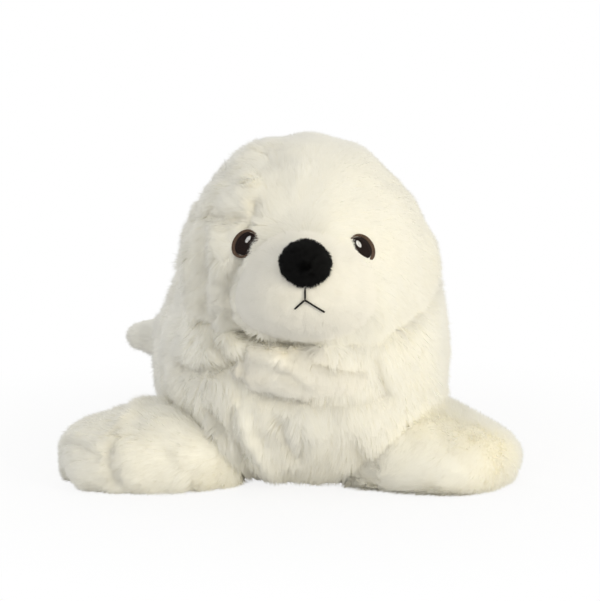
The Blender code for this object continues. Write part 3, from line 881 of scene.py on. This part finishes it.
# %% Stitch the mouth
def stroke_ends(node):
    """Both ends of a long thin solid, the upper one first."""
    points = corners_of(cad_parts[node].data)
    middle = points.mean(axis=0)
    run = np.linalg.svd(points - middle, full_matrices=False)[2][0]
    reach = (points - middle) @ run
    near_low, near_high = reach < reach.min() + 0.6 * MM, reach > reach.max() - 0.6 * MM
    ends = [points[near_low].mean(axis=0), points[near_high].mean(axis=0)]
    return sorted(ends, key=lambda end: -end[2])


STITCH_LENGTH, STITCH_STEP, STITCH_LIFT = 1.7 * MM, 0.42 * MM, 0.35 * MM
mouth_lines = {}
for node in ("mouth_stem", "mouth_right", "mouth_left"):
    start, end = stroke_ends(node)
    run = end - start
    length = np.linalg.norm(run)
    run = run / length
    away = np.array([0, -0.94, -0.34])
    aside = np.cross(run, away)
    runs = []
    past_end = 0.3 * MM if node == "mouth_stem" else -0.4 * MM
    for shift in np.arange(-0.5 * MM, length + past_end, STITCH_STEP):
        middle = start + run * shift + away * STITCH_LIFT
        slope = run * 0.95 + aside * 0.28
        runs.append(
            [
                middle - slope * STITCH_LENGTH / 2 - away * 0.3 * MM,
                middle - slope * STITCH_LENGTH / 5,
                middle + slope * STITCH_LENGTH / 5,
                middle + slope * STITCH_LENGTH / 2 - away * 0.3 * MM,
            ]
        )
    mouth_lines[node] = np.array([start, end])
    mesh = join_solid(tube_mesh(node + "_stitches", runs, 0.3 * MM), node)
    sewn_piece(node + "_stitches", mesh, node, mouth_thread)
    print(node, round(length / MM, 1), "mm,", len(runs), "stitches")

# %% [markdown]
# ## Where pile grows
# Pile grows only where the fabric shows, not where a cover is pressed against its neighbour or lies
# inside it. A ray straight out from each triangle finds that.

# %% Make the mesh of the locks and find the bare fabric
def lock_map(count):
    """A map of the locks with a cell for each."""
    cells = math.ceil(math.sqrt(count))
    inside = np.array([(0.06, 0.06), (0.94, 0.06), (0.5, 0.94)])
    index = np.arange(count)
    cell = np.stack([index % cells, index // cells], axis=1)[:, None, :]
    return ((cell + inside[None]) / cells).reshape(-1, 2)


def lock_mesh(name, blades, facing, tone, sunk):
    """All locks as one mesh: two root corners and a tip each, shaded the way that facing says."""
    count = len(blades)
    mesh = bpy.data.meshes.new(name)
    mesh.vertices.add(count * 3)
    mesh.vertices.foreach_set("co", blades.astype(np.float32).ravel())
    mesh.loops.add(count * 3)
    mesh.loops.foreach_set("vertex_index", np.arange(count * 3, dtype=np.int32))
    mesh.polygons.add(count)
    mesh.polygons.foreach_set("loop_start", np.arange(0, count * 3, 3, dtype=np.int32))
    mesh.update(calc_edges=True)
    # Painted shade: the colour darkens towards each lock's root, and more where its root is sunk in a crease.
    along = (np.array([0.6, 0.6, 1.0]) * (1 - 1.1 * sunk)[:, None]).ravel()
    mesh.attributes.new("along", "FLOAT", "POINT").data.foreach_set("value", along.astype(np.float32))
    tones = np.repeat(tone, 3)
    mesh.attributes.new("tone", "FLOAT", "POINT").data.foreach_set("value", tones.astype(np.float32))
    mesh.uv_layers.new(name="OFBake").data.foreach_set("uv", lock_map(count).astype(np.float32).ravel())
    mesh.shade_smooth()
    mesh.normals_split_custom_set_from_vertices(np.repeat(facing, 3, axis=0).astype(np.float32))
    return mesh


SQUEEZED = 2.0 * MM


def hidden_by(places, ways, tree):
    """True where a place lies inside a neighbour's cover, or so close under it that no pile shows."""
    hidden = np.zeros(len(places), bool)
    for i, (place, way) in enumerate(zip(places.tolist(), ways.tolist())):
        hit, facing, _, far = tree.ray_cast(place, way)
        if hit:
            hidden[i] = facing.dot(way) > 0 or far < SQUEEZED
    return hidden


class Ground:
    """A cover as the pile sees it: its corners, their normals, its triangles and the area each shows."""

    def __init__(self, node):
        mesh = covers[node].data
        mesh.calc_loop_triangles()
        faces = np.empty(len(mesh.loop_triangles) * 3, np.int32)
        mesh.loop_triangles.foreach_get("vertices", faces)
        self.faces, self.points, self.out = faces.reshape(-1, 3), corners_of(mesh), normals_of(mesh)
        a, b, c = (self.points[self.faces[:, k]] for k in range(3))
        self.area = np.linalg.norm(np.cross(b - a, c - a), axis=1) / 2
        self.middle, self.facing = (a + b + c) / 3, unit(self.out[self.faces].mean(axis=1))
        low, high = self.points.min(axis=0), self.points.max(axis=0)
        for other, tree in cover_trees.items():
            box = corners_of(covers[other].data)
            if other != node and (box.min(axis=0) < high).all() and (box.max(axis=0) > low).all():
                self.area = self.area * ~hidden_by(self.middle, self.facing, tree)


grounds = {node: Ground(node) for node in covers}
print("bare area:", {node: round(ground.area.sum() / MM**2) for node, ground in grounds.items()}, "mm2")

# %% [markdown]
# ## Seams that the pile hides
# On the toy's left side and between the eyes the photo shows no seam at all, because pile from both
# sides closes over it. Shading gives a seam away where two covers meet at an angle. So near such a seam
# the pile of both covers faces the way that all the shown fabric round it does on average.

# %% Let the pile face alike across a hidden seam
SEAM_BLEND = 9 * MM


def smooth_side(points):
    """From 0 to 1, how well the pile hides the seams at each point."""
    left = np.maximum(smooth_step(points[:, 0], -14 * MM, 8 * MM), nape(points))
    brow = smooth_step(points[:, 2], 112 * MM, 122 * MM) * smooth_step(points[:, 0], -34 * MM, -24 * MM)
    return np.maximum(left, brow)


def shown_knots(rng):
    """Places all over the shown fabric, the way that each faces, and the piece it is on."""
    places, ways, owners = [], [], []
    for index, (node, ground) in enumerate(grounds.items()):
        if node == "nose":
            continue
        count = round(ground.area.sum() / (7 * MM**2))
        pick = rng.choice(len(ground.faces), size=count, p=ground.area / ground.area.sum())
        places.append(ground.middle[pick])
        ways.append(ground.facing[pick])
        owners += [index] * count
    return np.concatenate(places), np.concatenate(ways), np.array(owners)


def face_alike(knots):
    """Gives each ground its soft normals: its own ones, turned to the average next to a hidden seam."""
    places, ways, owners = knots
    for index, (node, ground) in enumerate(grounds.items()):
        ground.soft, ground.closed = ground.out, np.zeros(len(ground.points))
        if node == "nose":
            continue
        tree = KDTree(int((owners != index).sum()))
        for i, place in enumerate(places[owners != index]):
            tree.insert(place, i)
        tree.balance()
        far = np.array([tree.find(p)[2] for p in ground.points])
        share = smooth_side(ground.points) * np.exp(-((far / (1.6 * SEAM_BLEND)) ** 2))
        ground.closed = share
        near = np.flatnonzero(share > 0.04)
        average = np.zeros((len(near), 3))
        for part in np.array_split(np.arange(len(near)), max(1, len(near) // 400)):
            if not len(part):
                continue
            here = ground.points[near[part]]
            low, high = here.min(axis=0) - 3 * SEAM_BLEND, here.max(axis=0) + 3 * SEAM_BLEND
            close = ((places > low) & (places < high)).all(axis=1)
            gap = ((here[:, None, :] - places[None, close]) ** 2).sum(axis=2)
            average[part] = np.exp(-gap / SEAM_BLEND**2) @ ways[close]
        share = share[near][:, None]
        ground.soft = ground.out.copy()
        ground.soft[near] = unit(ground.out[near] * (1 - share) + unit(average) * share)


face_alike(shown_knots(np.random.default_rng(3)))
print("pile faces alike across the hidden seams")

# %% [markdown]
# ## Growing the pile
# Pile is thousands of thin fibres that gather into small locks. Blender's hair is one way, but a hair
# curve isn't a surface that can be kept with the model. So each lock is one slim pointed blade that is
# shaded the way its cover faces, and all locks of a piece are one mesh that numpy builds at once. Each
# lock leans the way that the pile was brushed, wanders a little, and bends towards the tip of the clump
# it belongs to. Next to a crease it is shorter and runs beside it, along a tuft it is longer and follows
# it, next to an eye it is trimmed, and over stitches it is cut away.


# %% Plant the roots
UNDERSIDE_SHARE = 0.35
EYE_TRIM, EYE_TRIM_REACH = 0.3, 5 * MM


def sample_roots(node, count, rng):
    """Roots spread evenly over the shown fabric, fewer on the underside.

    Each comes with its own normal, its soft normal and how far the pile closes over a seam there.
    """
    ground = grounds[node]
    area = ground.area * np.where(ground.facing[:, 2] < -0.6, UNDERSIDE_SHARE, 1.0)
    pick = rng.choice(len(ground.faces), size=count, p=area / area.sum())
    u, v = rng.random((2, count))
    over = u + v > 1
    u[over], v[over] = 1 - u[over], 1 - v[over]
    shares = np.stack([1 - u - v, u, v], axis=1)[:, :, None]
    corners = ground.faces[pick]
    fields = (ground.points, ground.out, ground.soft)
    root, out, soft = ((field[corners] * shares).sum(axis=1) for field in fields)
    closed = (ground.closed[corners] * shares[:, :, 0]).sum(axis=1)
    return root, unit(out), unit(soft), closed, area.sum()


# How far the pile hangs over each eye's edge next to the nose. The right eye has its fold instead.
OVERHANGS = {"right": 0.0, "left": 1.3 * MM}
eye_fields = [(*field_axes("eye_rim_" + side), overhang) for side, overhang in OVERHANGS.items()]


def over_eye(points, share):
    """True where a point lies in front of an eye's bare part."""
    hit = np.zeros(len(points), bool)
    for middle, long_way, short_way, away, (half_long, half_short), overhang in eye_fields:
        outer = short_way * (1 if short_way @ (middle - nose_middle) > 0 else -1)
        step = points - (middle + outer * overhang)
        oval = ((step @ long_way) / (half_long * share)) ** 2
        oval = oval + ((step @ short_way) / ((half_short - overhang) * share)) ** 2
        hit |= (oval < 1) & (np.abs(step @ away) < 14 * MM)
    return hit & (past_lid(points) < 0.5)


def trimmed(points):
    """The share of its length that a lock keeps at each point: little beside an eye."""
    share = np.ones(len(points))
    for middle, _, _, away, (_, half_short), _ in eye_fields:
        step = points - middle
        flat = np.linalg.norm(step - away * (step @ away)[:, None], axis=1)
        share = np.minimum(share, np.interp(flat - half_short, (0, EYE_TRIM_REACH), (EYE_TRIM, 1)))
    return share


print("eyes kept free of pile:", len(eye_fields))

# %% [markdown]
# ## From roots to locks
# The locks of a piece are made in four steps. First comes the way that each lies and its length, beside
# tufts, creases and stitches too. Then roots gather into clumps, tips are leaned over and bent towards
# their clump's tip, and a blade is cut for each lock. A blade is shaded mostly as its cover is, with a
# little of the clump's dome and of its own flat face, which gives the soft grain of pile.

# %% Write the steps of growing
CREASE_SPREAD, FULL_CREASE = 1.6, 3 * MM
MOUTH_CLEAR = 1.6 * MM
ROOT_DEPTH, LOCK_ABOVE_FLOOR = 0.3 * MM, 0.35 * MM
DROOP = np.array([0, 0, -0.12])
DOME_SHARE, FLAT_SHARE = 0.13, 0.14


def lie_of_pile(root, way, reach):
    """The pile's way and length beside tufts and creases, and how far each root is sunk in a crease."""
    for path, wide, height in tufts.values():
        step, heading = to_path(root, path)
        hold = hold_of(step, wide)
        heading = heading * np.sign((heading * way).sum(axis=1) + 1e-9)[:, None]
        way = way * (1 - 0.5 * hold[:, None]) + heading * 0.5 * hold[:, None]
        reach = reach * (1 + 0.2 * hold)
    sunk = np.zeros(len(root))
    for path, wide, depth in creases.values():
        step, heading = to_path(root, path)
        hold = hold_of(step, wide * CREASE_SPREAD)
        towards = unit(step)
        into = np.maximum((way * towards).sum(axis=1), 0)
        way = way - towards * (into * hold)[:, None]
        sunk = np.maximum(sunk, hold * min(1, depth / FULL_CREASE))
    return way, reach, sunk


def clumps_of(root, area, clump, rng):
    """For each root, the root in the middle of the clump that it belongs to."""
    knots = max(1, round(area / clump**2))
    chosen = rng.choice(len(root), size=knots, replace=False)
    tree = KDTree(knots)
    for i, k in enumerate(chosen):
        tree.insert(root[k], i)
    tree.balance()
    return chosen[np.array([tree.find(p)[1] for p in root])]


def lean_tips(root, out, way, reach, mess, lean, owner, rng):
    """Where each lock's tip stands, leaned over and bent towards the tip of its clump."""
    count = len(root)
    tilt = np.radians(lean + rng.normal(0, 10, count) + rng.normal(0, 9, count)[owner] * mess[:, 0])
    tilt = np.clip(tilt, 0.1, 1.35)[:, None]
    reach = (reach * (0.85 + 0.3 * rng.random(count)[owner]))[:, None]
    tip = root + unit(out * np.cos(tilt) + way * np.sin(tilt) + DROOP) * reach
    pull = 0.35 * mess * rng.random((count, 1))
    return tip + (tip[owner] - tip) * pull


def cut_blades(root, out, tip, mess, width, rng):
    """One slim triangle for each lock, with its front outwards and its root in the cover."""
    axis = unit(tip - root)
    side = unit(np.cross(axis, out))
    roll = rng.normal(0, 0.6, (len(root), 1))
    side = side * np.cos(roll) + np.cross(axis, side) * np.sin(roll)
    wide = np.interp(mess, (0, 1), width) * MM
    half = side * wide / 2 * (0.7 + 0.6 * rng.random((len(root), 1)))
    base = root - out * ROOT_DEPTH
    blades = np.stack([base - half, base + half, tip], axis=1)
    inward = (np.cross(2 * half, tip - base) * out).sum(axis=1) < 0
    blades[inward] = blades[inward][:, [1, 0, 2]]
    blades[:, :, 2] = np.maximum(blades[:, :, 2], LOCK_ABOVE_FLOOR)
    return blades


def grow(node, count, brush, length, width, lean, clump, finish, slot_name, seed, keep_eye=0.97):
    """A pile of locks on one cover. brush gives the way it is brushed.

    length and width are pairs in millimetres: one where the pile is smooth, one where it is tousled.
    """
    rng = np.random.default_rng(seed)
    root, out, soft, closed, area = sample_roots(node, count, rng)
    keep = ~over_eye(root, keep_eye)
    root, out, soft, closed = root[keep], out[keep], soft[keep], closed[keep]
    mess = TOUSLED[node](root)[:, None]
    way = brush(root, out) + wander(root, 20 * MM, seed) * mess * 1.2
    way = way + wander(root, 7 * MM, seed + 1) * mess * 0.7
    reach = np.interp(mess[:, 0], (0, 1), length) * MM * (0.8 + 0.4 * rng.random(len(root)))
    way, reach, sunk = lie_of_pile(root, way, reach)
    reach = reach * (1 - 0.5 * sunk) * (1 + 0.6 * closed) * trimmed(root)
    for line in mouth_lines.values():
        reach = reach * (1 - 0.8 * hold_of(to_path(root, line)[0], MOUTH_CLEAR))
    way = unit(way - out * (way * out).sum(axis=1, keepdims=True))

    owner = clumps_of(root, area, clump, rng)
    way = unit(way * 0.75 + way[owner] * 0.25)
    tip = lean_tips(root, out, way, reach, mess, lean, owner, rng)
    dome = (root - root[owner]) / clump * mess * DOME_SHARE
    keep = ~(over_eye(tip, keep_eye) | over_eye((root + tip) / 2, keep_eye))
    blades = cut_blades(root[keep], out[keep], tip[keep], mess[keep], width, rng)
    flat = unit(np.cross(blades[:, 1] - blades[:, 0], blades[:, 2] - blades[:, 0]))
    facing = unit(soft[keep] + dome[keep] + flat * FLAT_SHARE)
    tone = 0.5 + rng.normal(0, 0.16, len(blades)) + rng.normal(0, 0.08, count)[owner[keep]]
    mesh = lock_mesh(node + "_pile", blades, facing, np.clip(tone, 0, 1), sunk[keep])
    mesh.materials.append(finish)
    piece = bpy.data.objects.new(node + "_pile", mesh)
    bpy.context.scene.collection.objects.link(piece)
    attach(piece, "root")
    print(piece.name, len(blades), "locks on", round(area / MM**2), "mm2")


# %% [markdown]
# ## The way each piece was brushed
# The head's pile falls from the crown and away from the nose, the body's runs down the chest and back
# along the sides, and each flipper's runs to its tip. Pile on the toy's right side of the head is long
# and untidy, and between the eyes and on the muzzle it is short and smooth.

# %% Brush and grow the long pile
def brush_head(points, out):
    away = unit((points - nose_middle) * np.array([1.0, 0.2, 0.6]))
    front = smooth_step(-points[:, 1], 45 * MM, 85 * MM)[:, None]
    return away * front * 0.8 + np.array([0, 0.55, -0.75]) * (1 - front) + np.array([0, 0, -0.45]) * front


def brush_body(points, out):
    front = smooth_step(-points[:, 1], 50 * MM, 95 * MM)[:, None]
    return np.array([0, -0.1, -1.0]) * front + np.array([0, 0.75, -0.55]) * (1 - front)


def brush_along(node):
    """A brush that runs from a flipper's root to its tip."""
    points = corners_of(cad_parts[node].data)
    middle = points.mean(axis=0)
    run = np.linalg.svd(points - middle, full_matrices=False)[2][0]
    body_middle = np.array(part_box("body")).mean(axis=0)
    run = run * (1 if run @ (middle - body_middle) > 0 else -1)
    return lambda places, out: np.tile(run + np.array([0, 0, -0.15]), (len(places), 1))


LONG = dict(finish=long_pile, slot_name="long_pile")
grow("head", 190000, brush_head, (3.0, 6.0), (0.28, 0.44), 56, 8 * MM, seed=11, **LONG)
grow("body", 195000, brush_body, (3.8, 6.6), (0.46, 0.5), 58, 9 * MM, seed=21, **LONG)
for place, side in enumerate(("right", "left")):
    node = "fore_flipper_" + side
    grow(node, 72000, brush_along(node), (3.6, 6.0), (0.36, 0.44), 60, 8 * MM, seed=31 + place, **LONG)
    node = "hind_flipper_" + side
    grow(node, 24000, brush_along(node), (3.6, 5.4), (0.4, 0.5), 58, 7 * MM, seed=41 + place, **LONG)

# %% [markdown]
# ## Short pile and the nose
# The muzzle and the fold under it have a short pile that runs away from the nose. The nose is a padded
# disc of black pile that stands straight up, which makes its edge slightly ragged.


# %% Brush and grow the short pile
def brush_muzzle(points, out):
    return unit(points - nose_middle) + np.array([0, 0.2, -0.1])


def brush_chin(points, out):
    return np.tile(np.array([0.0, 0.0, -1.0]), (len(points), 1))


def brush_nose(points, out):
    return unit(points - nose_middle)


SHORT = dict(finish=short_pile, slot_name="short_pile")
grow("muzzle", 75000, brush_muzzle, (2.4, 3.0), (0.26, 0.3), 48, 6 * MM, seed=51, keep_eye=0.8, **SHORT)
grow("chin_fold", 32000, brush_chin, (3.0, 4.2), (0.35, 0.4), 48, 6 * MM, seed=61, **SHORT)
NOSE = dict(finish=nose_pile, slot_name="nose_pile")
grow("nose", 24000, brush_nose, (1.6, 2.4), (0.34, 0.4), 14, 1.5 * MM, seed=71, **NOSE)

# %% [markdown]
# The dressed toy may stand a little proud of its solids, because pile does. Both boxes are printed
# for that comparison.

# %% Compare the boxes and finish
shown_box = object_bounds()
for name, (low, high) in (("solids", cad_box), ("dressed", shown_box)):
    print(name, [round(s / MM, 1) for s in high - low], "mm")
